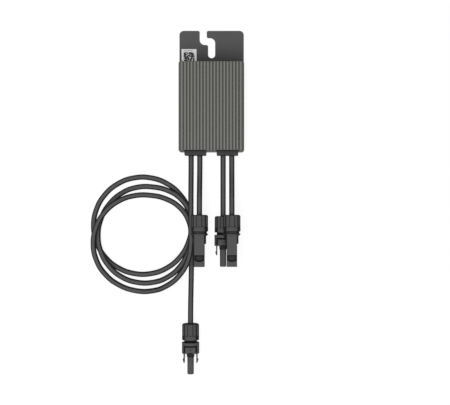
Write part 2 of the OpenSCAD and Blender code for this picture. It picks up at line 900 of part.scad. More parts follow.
module rear_seal() {
    rear_place() at_nut(finger_nut_z) cable_seal();
}

module rear_socket() {
    rear_place() socket_contact();
}

module rear_ring() {
    rear_place() seal_ring();
}

module front_nut() {
    front_place() at_nut(shell_nut_z) cap_nut();
}

module front_body() {
    front_place() shell_body();
}

module front_seal() {
    front_place() at_nut(shell_nut_z) cable_seal();
}

module front_pin() {
    front_place() pin_contact();
}

ribbed_housing();
mounting_plate();
plate_screws();
id_label();
circuit_board();
board_screws();
inductor_core();
inductor_winding();
input_capacitors();
output_capacitors();
power_transistors();
thermal_pad();
controller_chip();
signal_transformer();
cable_terminals();
copper_cores();
left_gland();
right_gland();
long_lead();
left_lead();
rear_lead();
front_lead();
long_nut();
long_body();
long_seal();
long_socket();
long_ring();
left_nut();
left_body();
left_seal();
left_pin();
rear_nut();
rear_body();
rear_seal();
rear_socket();
rear_ring();
front_nut();
front_body();
front_seal();
front_pin();
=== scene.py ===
import math

import bmesh
import bpy
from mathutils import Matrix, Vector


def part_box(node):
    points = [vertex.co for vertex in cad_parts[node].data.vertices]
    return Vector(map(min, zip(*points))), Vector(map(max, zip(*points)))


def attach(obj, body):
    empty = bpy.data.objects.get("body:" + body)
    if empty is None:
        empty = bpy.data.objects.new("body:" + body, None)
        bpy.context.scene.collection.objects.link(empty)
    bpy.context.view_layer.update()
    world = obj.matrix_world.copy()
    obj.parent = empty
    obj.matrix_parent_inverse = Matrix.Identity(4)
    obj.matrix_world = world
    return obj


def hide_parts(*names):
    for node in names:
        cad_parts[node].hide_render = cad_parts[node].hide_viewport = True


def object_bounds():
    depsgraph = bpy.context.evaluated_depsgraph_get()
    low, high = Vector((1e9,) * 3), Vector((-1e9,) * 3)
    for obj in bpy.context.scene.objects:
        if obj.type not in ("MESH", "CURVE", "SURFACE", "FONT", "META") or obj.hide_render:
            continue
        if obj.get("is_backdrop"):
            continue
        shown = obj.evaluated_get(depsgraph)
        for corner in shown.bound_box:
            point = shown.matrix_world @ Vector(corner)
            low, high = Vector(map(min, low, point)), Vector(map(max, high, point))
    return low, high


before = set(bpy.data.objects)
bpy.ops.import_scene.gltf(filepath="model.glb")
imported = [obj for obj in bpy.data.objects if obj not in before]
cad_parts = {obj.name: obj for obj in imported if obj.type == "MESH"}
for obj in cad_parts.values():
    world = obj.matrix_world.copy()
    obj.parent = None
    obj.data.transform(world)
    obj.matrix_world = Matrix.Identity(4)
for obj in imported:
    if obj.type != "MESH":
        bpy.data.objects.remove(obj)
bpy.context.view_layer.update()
scene = bpy.context.scene
scene.view_settings.view_transform = "Standard"

# The view: the optimizer lies on its back on a pale table and is seen from straight above,
# from about a metre away, with its slotted end at the top of the picture.
VIEW_MIDDLE = (0.0156, -0.1724)
VIEW_HEIGHT = 1.028
camera_data = bpy.data.cameras.new("overhead_camera")
camera_data.sensor_width = 36
camera_data.lens = 70.4
camera = bpy.data.objects.new("overhead_camera", camera_data)
camera.location = (*VIEW_MIDDLE, VIEW_HEIGHT)
scene.collection.objects.link(camera)
scene.camera = camera

# The cap nuts: moulded from black glass-filled plastic, with a plain rim, fourteen flutes and a
# rounded shoulder. Each is screwed on a connector's body and squeezes its seal onto the lead.
NUT_L = 0.0181
RIM_R, RIM_DROP, RIM_BEVEL = 0.00985, 0.0007, 0.00035
FLUTED_R, FLUTED_FROM, FLUTED_STEP = 0.00975, 0.004, 0.0002
FLUTES, FLUTE_R, FLUTE_DEPTH = 14, 0.0032, 0.0007
FLUTE_START, FLUTE_FULL = 0.0043, 0.0045
FLUTE_SIDES = 4
SHOULDER_R, SHOULDER_STEPS = 0.002, 6
HOLE_R, MOUTH = 0.0034, 0.001
SEAL_ROOM_R, SEAL_ROOM_TOP = 0.0053, 0.0153
SPIGOT_ROOM_R, SPIGOT_ROOM_TOP = 0.0069, 0.0111
NECK_ROOM_R, NECK_ROOM_TOP = 0.0086, 0.0001
MOULDED_CREASE = math.radians(30)
flute_axis = FLUTED_R + FLUTE_R - FLUTE_DEPTH
flute_edge = math.acos(
    (FLUTED_R ** 2 + flute_axis ** 2 - FLUTE_R ** 2) / (2 * FLUTED_R * flute_axis)
)
shoulder_from = NUT_L - SHOULDER_R

# The nut's section, up its outside and down its bore: how far along and how far out from the axis
NUT_OUTSIDE = [
    (-RIM_DROP, RIM_R - RIM_BEVEL), (RIM_BEVEL - RIM_DROP, RIM_R), (FLUTED_FROM - FLUTED_STEP, RIM_R),
    (FLUTED_FROM, FLUTED_R), (FLUTE_START, FLUTED_R), (FLUTE_FULL, FLUTED_R),
    ((FLUTE_FULL + shoulder_from) / 2, FLUTED_R), (shoulder_from, FLUTED_R),
] + [
    (
        shoulder_from + SHOULDER_R * math.sin(math.pi / 2 * i / SHOULDER_STEPS),
        FLUTED_R - SHOULDER_R + SHOULDER_R * math.cos(math.pi / 2 * i / SHOULDER_STEPS),
    )
    for i in range(1, SHOULDER_STEPS + 1)
]
NUT_BORE = [
    (NUT_L, HOLE_R + MOUTH), (NUT_L - MOUTH, HOLE_R), (SEAL_ROOM_TOP, HOLE_R),
    (SEAL_ROOM_TOP, SEAL_ROOM_R), (SPIGOT_ROOM_TOP, SEAL_ROOM_R), (SPIGOT_ROOM_TOP, SPIGOT_ROOM_R),
    (NECK_ROOM_TOP, SPIGOT_ROOM_R), (NECK_ROOM_TOP, NECK_ROOM_R), (-RIM_DROP, NECK_ROOM_R),
]

# The angles at which one flute is sampled, from the land before it to its far edge
FLUTE_STATIONS = [-math.pi / FLUTES] + [
    flute_edge * (i / FLUTE_SIDES - 1) for i in range(2 * FLUTE_SIDES + 1)
]


def flute_floor(turned):
    """How far from the nut's axis a flute's floor is, at an angle from the flute's middle."""
    aside = flute_axis * math.sin(turned)
    return flute_axis * math.cos(turned) - math.sqrt(FLUTE_R ** 2 - aside ** 2)


def add_node(tree, kind, **values):
    """Adds a shader node; a value named after a socket goes to that socket, any other to the node."""
    made = tree.nodes.new(kind)
    for name, value in values.items():
        if name in made.inputs:
            made.inputs[name].default_value = value
        else:
            setattr(made, name, value)
    return made


def effect_group(name, inputs, outputs):
    """An empty shader group with named value inputs and outputs, and its two end nodes."""
    tree = bpy.data.node_groups.new(name, "ShaderNodeTree")
    for label, value in inputs.items():
        socket = tree.interface.new_socket(label, in_out="INPUT", socket_type="NodeSocketFloat")
        socket.default_value = value
    for label in outputs:
        tree.interface.new_socket(label, in_out="OUTPUT", socket_type="NodeSocketFloat")
    return tree, tree.nodes.new("NodeGroupInput"), tree.nodes.new("NodeGroupOutput")


# Fine grain of a moulded or coated surface, with a slow change of tone over it
SLOW_SHARE = 0.06
grain, grain_in, grain_out = effect_group("surface_grain", {"Scale": 900.0}, ["Height", "Tone"])
grain_place = add_node(grain, "ShaderNodeTexCoord")
grain_fine = add_node(grain, "ShaderNodeTexNoise", Detail=3.0, Roughness=0.6)
grain_slow = add_node(grain, "ShaderNodeTexNoise", Detail=2.0, Roughness=0.5)
grain_share = add_node(grain, "ShaderNodeMath", operation="MULTIPLY")
grain_share.inputs[1].default_value = SLOW_SHARE
grain.links.new(grain_place.outputs["Object"], grain_fine.inputs["Vector"])
grain.links.new(grain_place.outputs["Object"], grain_slow.inputs["Vector"])
grain.links.new(grain_in.outputs["Scale"], grain_fine.inputs["Scale"])
grain.links.new(grain_in.outputs["Scale"], grain_share.inputs[0])
grain.links.new(grain_share.outputs[0], grain_slow.inputs["Scale"])
grain.links.new(grain_fine.outputs["Fac"], grain_out.inputs["Height"])
grain.links.new(grain_slow.outputs["Fac"], grain_out.inputs["Tone"])

# The sockets of a Mix node for colours go by number, because several there share a name
MIX_FACTOR, MIX_UNDER, MIX_OVER, MIX_RESULT = 0, 6, 7, 2


def finish_material(name, dark, light, rough, gloss, scale, depth, metal=0.0):
    """A material whose colour and roughness wander between two values, with a fine grain as bump."""
    material = bpy.data.materials.new(name)
    material.use_nodes = True
    tree = material.node_tree
    surface = tree.nodes["Principled BSDF"]
    surface.inputs["Specular IOR Level"].default_value = gloss
    surface.inputs["Metallic"].default_value = metal
    texture = add_node(tree, "ShaderNodeGroup", node_tree=grain, Scale=scale)
    colour = add_node(tree, "ShaderNodeMix", data_type="RGBA")
    colour.inputs[MIX_UNDER].default_value = (*dark, 1)
    colour.inputs[MIX_OVER].default_value = (*light, 1)
    tree.links.new(texture.outputs["Tone"], colour.inputs[MIX_FACTOR])
    tree.links.new(colour.outputs[MIX_RESULT], surface.inputs["Base Color"])
    polish = add_node(tree, "ShaderNodeMapRange")
    polish.inputs["To Min"].default_value = rough[0]
    polish.inputs["To Max"].default_value = rough[1]
    tree.links.new(texture.outputs["Height"], polish.inputs["Value"])
    tree.links.new(polish.outputs["Result"], surface.inputs["Roughness"])
    bump = add_node(tree, "ShaderNodeBump", Strength=0.4, Distance=depth)
    tree.links.new(texture.outputs["Height"], bump.inputs["Height"])
    tree.links.new(bump.outputs["Normal"], surface.inputs["Normal"])
    return material


def colour_over(material, mask, colour):
    """Lays another colour over a material's own one, where the mask says."""
    tree = material.node_tree
    base = tree.nodes["Principled BSDF"].inputs["Base Color"]
    layer = add_node(tree, "ShaderNodeMix", data_type="RGBA")
    layer.inputs[MIX_OVER].default_value = (*colour, 1)
    tree.links.new(mask, layer.inputs[MIX_FACTOR])
    tree.links.new(base.links[0].from_socket, layer.inputs[MIX_UNDER])
    tree.links.new(layer.outputs[MIX_RESULT], base)


# Painted shade: a darker colour where a surface is hemmed in by its neighbours, found by ambient
# occlusion
OCCLUSION_RAYS = 8
OPEN_FROM = 0.97
recess_shade, recess_shade_in, recess_shade_out = effect_group(
    "recess_painted_shade", {"Reach": 0.004, "Amount": 0.7, "Shut": 0.55}, ["Soil"],
)
shade_open = add_node(recess_shade, "ShaderNodeAmbientOcclusion", samples=OCCLUSION_RAYS)
shade_shut = add_node(recess_shade, "ShaderNodeMapRange")
shade_shut.inputs["From Min"].default_value = OPEN_FROM
shade_level = add_node(recess_shade, "ShaderNodeMath", operation="MULTIPLY", use_clamp=True)
recess_shade.links.new(recess_shade_in.outputs["Reach"], shade_open.inputs["Distance"])
recess_shade.links.new(shade_open.outputs["AO"], shade_shut.inputs["Value"])
recess_shade.links.new(recess_shade_in.outputs["Shut"], shade_shut.inputs["From Max"])
recess_shade.links.new(shade_shut.outputs["Result"], shade_level.inputs[0])
recess_shade.links.new(recess_shade_in.outputs["Amount"], shade_level.inputs[1])
recess_shade.links.new(shade_level.outputs[0], recess_shade_out.inputs["Soil"])


def paint_recess_shade(material, colour, reach, amount, shut=0.55):
    """Paints shade into a material where its neighbours hem it in."""
    painted_layer = add_node(
        material.node_tree, "ShaderNodeGroup", node_tree=recess_shade, Reach=reach, Amount=amount, Shut=shut,
    )
    colour_over(material, painted_layer.outputs["Soil"], colour)


# Painted light: a paler colour on what faces up, as if lit from above
top_light, top_light_in, top_light_out = effect_group("painted_top_light", {"From": 0.6, "Full": 0.8}, ["Bloom"])
top_light_place = add_node(top_light, "ShaderNodeTexCoord")
top_light_facing = add_node(top_light, "ShaderNodeSeparateXYZ")
top_light_edge = add_node(top_light, "ShaderNodeMapRange", interpolation_type="SMOOTHSTEP")
top_light.links.new(top_light_place.outputs["Normal"], top_light_facing.inputs[0])
top_light.links.new(top_light_facing.outputs["Z"], top_light_edge.inputs["Value"])
top_light.links.new(top_light_in.outputs["From"], top_light_edge.inputs["From Min"])
top_light.links.new(top_light_in.outputs["Full"], top_light_edge.inputs["From Max"])
top_light.links.new(top_light_edge.outputs["Result"], top_light_out.inputs["Bloom"])


def paint_top_light(material, colour, start, full):
    """Paints light onto a material where it faces up, greying it."""
    painted_layer = add_node(material.node_tree, "ShaderNodeGroup", node_tree=top_light, From=start, Full=full)
    colour_over(material, painted_layer.outputs["Bloom"], colour)


# Outer edges rubbed pale by handling: seen from inside the piece, an edge is near its other face
EDGE_FROM, EDGE_FULL = 0.9, 0.5
GAPS_FROM, GAPS_FULL = 0.35, 0.65
edges, edges_in, edges_out = effect_group(
    "rubbed_edges", {"Reach": 0.0005, "Amount": 0.6}, ["Wear"],
)
edge_near = add_node(
    edges, "ShaderNodeAmbientOcclusion", samples=OCCLUSION_RAYS, inside=True, only_local=True,
)
edge_found = add_node(edges, "ShaderNodeMapRange")
edge_found.inputs["From Min"].default_value = EDGE_FROM
edge_found.inputs["From Max"].default_value = EDGE_FULL
edge_place = add_node(edges, "ShaderNodeTexCoord")
edge_patches = add_node(edges, "ShaderNodeTexNoise", Scale=240.0, Detail=4.0, Roughness=0.65)
edge_gaps = add_node(edges, "ShaderNodeMapRange")
edge_gaps.inputs["From Min"].default_value = GAPS_FROM
edge_gaps.inputs["From Max"].default_value = GAPS_FULL
edge_broken = add_node(edges, "ShaderNodeMath", operation="MULTIPLY")
edge_level = add_node(edges, "ShaderNodeMath", operation="MULTIPLY", use_clamp=True)
edges.links.new(edges_in.outputs["Reach"], edge_near.inputs["Distance"])
edges.links.new(edge_near.outputs["AO"], edge_found.inputs["Value"])
edges.links.new(edge_place.outputs["Object"], edge_patches.inputs["Vector"])
edges.links.new(edge_patches.outputs["Fac"], edge_gaps.inputs["Value"])
edges.links.new(edge_found.outputs["Result"], edge_broken.inputs[0])
edges.links.new(edge_gaps.outputs["Result"], edge_broken.inputs[1])
edges.links.new(edge_broken.outputs[0], edge_level.inputs[0])
edges.links.new(edges_in.outputs["Amount"], edge_level.inputs[1])
edges.links.new(edge_level.outputs[0], edges_out.inputs["Wear"])


def rub_edges(material, colour, reach, amount):
    """Lightens a material in patches along its outer edges."""
    worn = add_node(material.node_tree, "ShaderNodeGroup", node_tree=edges, Reach=reach, Amount=amount)
    colour_over(material, worn.outputs["Wear"], colour)


def moulding(name, start, full, reach, shut):
    """Black plastic, with painted light greying what faces up and painted shade darkening its
    recesses.
    """
    plastic = finish_material(
        name, dark=(0.013, 0.013, 0.013), light=(0.02, 0.02, 0.02),
        rough=(0.5, 0.65), gloss=0.05, scale=900, depth=0.00003,
    )
    # Painted light greys the faces that look up; painted shade darkens the recesses.
    paint_top_light(plastic, (0.1, 0.1, 0.1), start, full)
    paint_recess_shade(plastic, (0.003, 0.003, 0.003), reach, amount=0.95, shut=shut)
    rub_edges(plastic, (0.12, 0.12, 0.12), reach=0.0003, amount=0.3)
    return plastic


nut_plastic = moulding("nut_moulding", start=0.71, full=0.82, reach=0.0035, shut=0.55)


def mesh_object(name, shape, material):
    """Turns a finished bmesh into an object of the scene, in one material."""
    mesh = bpy.data.meshes.new(name)
    shape.to_mesh(mesh)
    shape.free()
    mesh.materials.append(material)
    made = bpy.data.objects.new(name, mesh)
    scene.collection.objects.link(made)
    return made


def shade_smooth(mesh, crease):
    """Shades a mesh smoothly, apart from edges that turn by more than the crease."""
    mesh.polygons.foreach_set("use_smooth", [True] * len(mesh.polygons))
    mesh.set_sharp_from_angle(angle=crease)


def turn_nut(name, node):
    """A cap nut on the axis and the lower end of the CAD one."""
    low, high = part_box(node)
    middle_x, middle_z = (low[0] + high[0]) / 2, (low[2] + high[2]) / 2
    shape = bmesh.new()
    rings = []
    for k in range(FLUTES):
        for turned in FLUTE_STATIONS:
            angle = 2 * math.pi * k / FLUTES + turned
            ring = []
            for along, out in NUT_OUTSIDE + NUT_BORE:
                if along >= FLUTE_FULL:
                    out = min(out, flute_floor(turned))
                ring.append(shape.verts.new((
                    middle_x + out * math.sin(angle), low[1] + along, middle_z + out * math.cos(angle),
                )))
            rings.append(ring)
    for i in range(len(rings)):
        for j in range(len(rings[0])):
            shape.faces.new((rings[i - 1][j - 1], rings[i - 1][j], rings[i][j], rings[i][j - 1]))
    bmesh.ops.recalc_face_normals(shape, faces=shape.faces)
    nut = mesh_object(name, shape, nut_plastic)
    shade_smooth(nut.data, MOULDED_CREASE)
    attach(nut, "root")
    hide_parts(node)
    return nut


long_nut = turn_nut("long_cap_nut", "long_nut")
left_nut = turn_nut("left_cap_nut", "left_nut")
rear_nut = turn_nut("rear_cap_nut", "rear_nut")
front_nut = turn_nut("front_cap_nut", "front_nut")

# The leads: four round copper cables in a smooth black cross-linked jacket. Two come out of each
# gland. The outer left one runs down, lies in three loose turns and comes out again at the bottom;
# the others are short. Each ends inside the cap nut of its connector.
LEAD_D = 0.0062
STRIP_Y = -0.108
EXIT_Y = -0.119
EXIT_Z = 0.014
NUT_INSIDE = 0.0173
PASS_BASE = 0.0032
PASS_STEP = 0.00635
PASS_TOP = PASS_BASE + 3 * PASS_STEP
REST_Z = 0.01005

# One value for each turn: its width, the place of its middle, half its length, the passes under it
# and its humps at the left as angle, level half, foot and height. The humps at the right are alike.
TURN_POINTS = 18
TURN_REACH = (0.1125, 0.108, 0.114)
TURN_DROP = (0.1007, 0.0909, 0.0804)
TURN_HALF = (0.056, 0.056, 0.0565)
TURN_UNDER = (3, 2, 1)
LEFT_CLIMB = ((200, 25, 95, 0.0126), (150, 20, 75, 0.0065), (150, 20, 75, 0))
RIGHT_FLAT, RIGHT_FOOT = 38, 103


def climb(t):
    """A smooth rise from 0 to 1."""
    s = min(1, max(0, t))
    return s * s * (3 - 2 * s)


def hump(angle, middle, flat, foot, height):
    """How high a turn is lifted at an angle, level near the hump's middle and down at its foot."""
    return height * climb((foot - abs(angle - middle)) / (foot - flat))


def turn_point(turn, angle):
    """A point of a turn, which runs from the right by the bottom and the left to the top."""
    following = min(turn + 1, len(TURN_REACH) - 1)
    drop = TURN_DROP[turn] + (TURN_DROP[following] - TURN_DROP[turn]) * climb((angle - 270) / 90)
    return (
        TURN_REACH[turn] / 2 * (math.cos(math.radians(angle)) - 1),
        -drop - TURN_HALF[turn] * math.sin(math.radians(angle)),
        PASS_BASE
        + hump(angle, 0, RIGHT_FLAT, RIGHT_FOOT, TURN_UNDER[turn] * PASS_STEP)
        + hump(angle, *LEFT_CLIMB[turn])
        + hump(angle, 360, RIGHT_FLAT, RIGHT_FOOT, (TURN_UNDER[turn] - 1) * PASS_STEP),
    )


# Each lead's points after its exit: across from the exit, along from it, and up from the table
LONG_START = (
    (0, -0.012, 0.0144), (0, -0.026, 0.0165), (0, -0.042, 0.0198),
    (0, -0.058, 0.0218), (0, -0.074, PASS_TOP), (0, -0.088, PASS_TOP),
)
LONG_TURNS = tuple(
    turn_point(turn, 360 * i / TURN_POINTS)
    for turn in range(len(TURN_REACH)) for i in range(TURN_POINTS)
)
LONG_TAIL = (
    (0, -0.0804, PASS_BASE), (0, -0.1, PASS_BASE), (-0.0001, -0.12, PASS_BASE),
    (-0.0003, -0.14, 0.0039), (-0.0006, -0.16, 0.0063), (-0.0008, -0.178, 0.0092),
    (-0.0008, -0.1933, REST_Z),
)
LEFT_TAIL = (
    (0, -0.01, 0.0144), (0, -0.022, 0.0172), (0, -0.035, 0.0226),
    (0, -0.048, 0.028), (0, -0.058, 0.0303), (0, -0.0674, 0.0308),
)
REAR_TAIL = (
    (0, -0.014, 0.0138), (0, -0.03, 0.0125), (0, -0.046, 0.0108),
    (0, -0.058, 0.0101), (0, -0.0692, REST_Z),
)
FRONT_TAIL = (
    (0, -0.01, 0.0143), (0, -0.022, 0.0166), (0, -0.035, 0.0212),
    (0, -0.048, 0.0259), (0, -0.058, 0.028), (0, -0.0674, 0.0285),
)


def lead_route(x, tail):
    """A lead's whole route, from its terminal in the housing to its end in the cap nut."""
    dx, dy, z = tail[-1]
    inside = [(x, STRIP_Y, EXIT_Z), (x, EXIT_Y, EXIT_Z)]
    free = [(x + p[0], EXIT_Y + p[1], p[2]) for p in tail]
    return inside + free + [(x + dx, EXIT_Y + dy - NUT_INSIDE, z)]


jacket = finish_material(
    "lead_jacket", dark=(0.013, 0.013, 0.013), light=(0.02, 0.02, 0.02),
    rough=(0.5, 0.65), gloss=0.05, scale=700, depth=0.00002,
)
# Painted light greys the top of each lead; painted shade darkens it where leads crowd each other.
paint_top_light(jacket, (0.108, 0.108, 0.108), start=0.77, full=0.91)
paint_recess_shade(jacket, (0.007, 0.007, 0.007), reach=0.002, amount=0.7)


def lay_lead(name, x, tail, node):
    """A round cord on its route, in place of the CAD lead, which it hides."""
    curve = bpy.data.curves.new(name, "CURVE")
    curve.dimensions = "3D"
    curve.bevel_depth = LEAD_D / 2
    curve.bevel_resolution = 6
    curve.resolution_u = 8
    curve.use_fill_caps = True
    route = lead_route(x, tail)
    spline = curve.splines.new("BEZIER")
    spline.bezier_points.add(len(route) - 1)
    for knot, point in zip(spline.bezier_points, route):
        knot.co = point
        knot.handle_left_type = "AUTO"
        knot.handle_right_type = "AUTO"
    curve.materials.append(jacket)
    lead = bpy.data.objects.new(name, curve)
    scene.collection.objects.link(lead)
    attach(lead, "root")
    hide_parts(node)


lay_lead(
    "long_cable", x=-0.0234, tail=LONG_START + LONG_TURNS + LONG_TAIL,
    node="long_lead",
)
lay_lead(
    "left_cable", x=-0.0134, tail=LEFT_TAIL,
    node="left_lead",
)
lay_lead(
    "rear_cable", x=0.0134, tail=REAR_TAIL,
    node="rear_lead",
)
lay_lead(
    "front_cable", x=0.0234, tail=FRONT_TAIL,
    node="front_lead",
)

# The connectors: bodies moulded from black glass-filled plastic, each closed by its cap nut. Soft
# black seals sit under the nuts and round the probes, and the contacts are tin-plated copper.
soft_seal = finish_material(
    "seal_silicone", dark=(0.015, 0.015, 0.016), light=(0.03, 0.03, 0.03),
    rough=(0.6, 0.8), gloss=0.2, scale=600, depth=0.00004,
)
tinned = finish_material(
    "tinned_contact", dark=(0.55, 0.54, 0.51), light=(0.68, 0.67, 0.64),
    rough=(0.25, 0.4), gloss=0.5, scale=1200, depth=0.00003, metal=1.0,
)
shell_plastic = moulding("shell_moulding", start=0.62, full=0.76, reach=0.007, shut=0.58)
finger_plastic = moulding("finger_moulding", start=0.2, full=0.55, reach=0.0045, shut=0.65)


def dress(material, *nodes):
    """Gives CAD nodes their finish."""
    for name in nodes:
        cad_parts[name].material_slots[0].material = material


dress(shell_plastic, "left_body", "front_body")
dress(finger_plastic, "long_body", "rear_body")
dress(soft_seal, "long_seal", "left_seal", "rear_seal", "front_seal", "long_ring", "rear_ring")
dress(tinned, "long_socket", "rear_socket", "left_pin", "front_pin")

# The glands: two square-cornered rubber blocks pressed into the notches of the housing's lower
# wall, each with two round holes for its leads. A flat lip on top lies in a rest in the rib ends.
gland_rubber = finish_material(
    "gland_rubber", dark=(0.01, 0.01, 0.01), light=(0.016, 0.016, 0.016),
    rough=(0.65, 0.85), gloss=0.08, scale=800, depth=0.00006,
)
# Painted light greys the faces that look up; painted shade darkens the recesses.
paint_top_light(gland_rubber, (0.062, 0.062, 0.062), start=0.5, full=0.75)
paint_recess_shade(gland_rubber, (0.006, 0.006, 0.006), reach=0.005, amount=0.9)
housing_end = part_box("ribbed_housing")[0][1]
FACE_BACK = 0.0008
FACE_HALF, SIDE_HALF = 0.01205, 0.01225
FACE_BEVEL = 0.0002
CORNER_FROM = 0.011
TOUCHING = 0.00001
MERGED = 0.000001


def node_shape(node):
    """A copy of a CAD node's mesh to reshape, with its faces joined."""
    shape = bmesh.new()
    shape.from_mesh(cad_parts[node].data)
    bmesh.ops.remove_doubles(shape, verts=shape.verts, dist=MERGED)
    return shape


def square_gland(name, node):
    """The gland's own shape, with its outer face set back and its corners almost square."""
    low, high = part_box(node)
    middle = (low[0] + high[0]) / 2
    block = node_shape(node)
    for vert in block.verts:
        aside = vert.co.x - middle
        corner = abs(aside) > CORNER_FROM
        if vert.co.y < low[1] + TOUCHING:
            vert.co.y = low[1] + FACE_BACK
            if corner:
                vert.co.x = middle + math.copysign(FACE_HALF, aside)
        elif corner and vert.co.y < housing_end - TOUCHING:
            vert.co.x = middle + math.copysign(SIDE_HALF, aside)
            vert.co.y = low[1] + FACE_BACK + FACE_BEVEL
    piece = mesh_object(name, block, gland_rubber)
    if piece.data.has_custom_normals:
        piece.data.attributes.remove(piece.data.attributes["custom_normal"])
    shade_smooth(piece.data, MOULDED_CREASE)
    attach(piece, "root")
    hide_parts(node)


square_gland("left_gland_block", "left_gland")
square_gland("right_gland_block", "right_gland")
REST_FLOOR = 0.02455
REST_DEPTH = 0.0015
LIP_GAP = 0.0001
LIP_T, BEAD_T, BEAD_W = 0.0005, 0.0008, 0.0006
BEAD_CUT = 0.3
LIP_L = REST_DEPTH - LIP_GAP
LIP_PROFILE = (
    (0, 0), (LIP_L, 0), (LIP_L, BEAD_T * (1 - BEAD_CUT)), (LIP_L - BEAD_W * BEAD_CUT, BEAD_T),
    (LIP_L - BEAD_W * (1 - BEAD_CUT), BEAD_T), (LIP_L - BEAD_W, LIP_T), (0, LIP_T),
)


def lay_lip(name, node):
    """The flat lip over a gland, with a bead along its inner edge."""
    low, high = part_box(node)
    lip = bmesh.new()
    ends = [
        [lip.verts.new((x, housing_end + y, REST_FLOOR + z)) for y, z in LIP_PROFILE]
        for x in (low[0] + LIP_GAP, high[0] - LIP_GAP)
    ]
    for i in range(len(LIP_PROFILE)):
        lip.faces.new([ends[0][i - 1], ends[0][i], ends[1][i], ends[1][i - 1]])
    for end in ends:
        lip.faces.new(end)
    bmesh.ops.recalc_face_normals(lip, faces=lip.faces)
    piece = mesh_object(name, lip, gland_rubber)
    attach(piece, "root")


lay_lip("left_gland_lip", "left_gland")
lay_lip("right_gland_lip", "right_gland")

# The housing: one aluminium die casting with nineteen cooling ribs, coated dark grey. The rib crests
# are coloured paler than the rest, and the rib ends are cut back for the lips of the glands.
casting = finish_material(
    "cast_coating", dark=(0.112, 0.112, 0.112), light=(0.13, 0.13, 0.129),
    rough=(0.6, 0.8), gloss=0.2, scale=650, depth=0.00005,
)
CREST_FROM, CREST_FULL = 0.0268, 0.0279
CREST_COLOUR = (0.228, 0.228, 0.21)
tree = casting.node_tree
place = add_node(tree, "ShaderNodeTexCoord")
split = add_node(tree, "ShaderNodeSeparateXYZ")
height = add_node(tree, "ShaderNodeMapRange")
height.inputs["From Min"].default_value = CREST_FROM
height.inputs["From Max"].default_value = CREST_FULL
tree.links.new(place.outputs["Object"], split.inputs[0])
tree.links.new(split.outputs["Z"], height.inputs["Value"])
colour_over(casting, height.outputs["Result"], CREST_COLOUR)
rub_edges(casting, (0.3, 0.3, 0.29), reach=0.0004, amount=0.4)
REST_TOP = 0.032
CAST_CREASE = math.radians(25)
cut = bmesh.new()
for node in ("left_gland", "right_gland"):
    low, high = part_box(node)
    block = bmesh.ops.create_cube(cut, size=1)["verts"]
    bmesh.ops.scale(cut, vec=(high[0] - low[0], 2 * REST_DEPTH, REST_TOP - REST_FLOOR), verts=block)
    bmesh.ops.translate(
        cut, vec=((low[0] + high[0]) / 2, housing_end, (REST_TOP + REST_FLOOR) / 2), verts=block,
    )
cutter = mesh_object("gland_rests", cut, casting)
housing = mesh_object("housing_casting", node_shape("ribbed_housing"), casting)
rests = housing.modifiers.new("gland_rests", "BOOLEAN")
rests.operation = "DIFFERENCE"
rests.solver = "EXACT"
rests.object = cutter
graph = bpy.context.evaluated_depsgraph_get()
housing.data = bpy.data.meshes.new_from_object(housing.evaluated_get(graph))
housing.modifiers.clear()
bpy.data.objects.remove(cutter)
shade_smooth(housing.data, CAST_CREASE)
flats = housing.modifiers.new("flat_faces_stay_flat", "WEIGHTED_NORMAL")
flats.keep_sharp = True
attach(housing, "root")
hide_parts("ribbed_housing")

# The mounting plate: a flat sheet with rounded corners and a stepped bolt slot, coated dark grey
# and screwed to the back of the housing with countersunk screws.
sheet_coat = finish_material(
    "sheet_coating", dark=(0.087, 0.087, 0.088), light=(0.096, 0.096, 0.096),
    rough=(0.5, 0.65), gloss=0.2, scale=1100, depth=0.00003,
)
# Painted shade: the sheet darkens near the housing and in its recesses.
paint_recess_shade(sheet_coat, (0.012, 0.012, 0.012), reach=0.03, amount=0.75)
rub_edges(sheet_coat, (0.3, 0.3, 0.3), reach=0.0003, amount=0.4)
screw_zinc = finish_material(
    "screw_zinc", dark=(0.4, 0.4, 0.41), light=(0.52, 0.52, 0.52),
    rough=(0.3, 0.45), gloss=0.5, scale=1000, depth=0.00003, metal=1.0,
)
dress(sheet_coat, "mounting_plate")
dress(screw_zinc, "plate_screws", "board_screws")

# The label: a square of white film, glued to the plate beside the slot and printed with a plain
# field of small blocks that says nothing.
film = finish_material(
    "label_film", dark=(0.9, 0.9, 0.89), light=(0.95, 0.95, 0.94),
    rough=(0.4, 0.5), gloss=0.2, scale=500, depth=0.00002,
)
LABEL_INK = (0.015, 0.015, 0.017)
BLOCK, PRINTED_SHARE = 0.001, 0.85
FIELD_W = 0.0126
FIELD_DROP = 0.0036
LINE_DROP, LINE_T, LINE_W = 0.0017, 0.0005, 0.0105
label_low, label_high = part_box("id_label")
label_middle = (label_low[0] + label_high[0]) / 2
tree = film.node_tree


def band(value, low, high):
    """1 where a value lies between two others."""
    middle = add_node(tree, "ShaderNodeMath", operation="COMPARE")
    tree.links.new(value, middle.inputs[0])
    middle.inputs[1].default_value = (low + high) / 2
    middle.inputs[2].default_value = (high - low) / 2
    return middle.outputs[0]


def combined(operation, first, second):
    """Two masks as one."""
    made = add_node(tree, "ShaderNodeMath", operation=operation, use_clamp=True)
    tree.links.new(first, made.inputs[0])
    tree.links.new(second, made.inputs[1])
    return made.outputs[0]


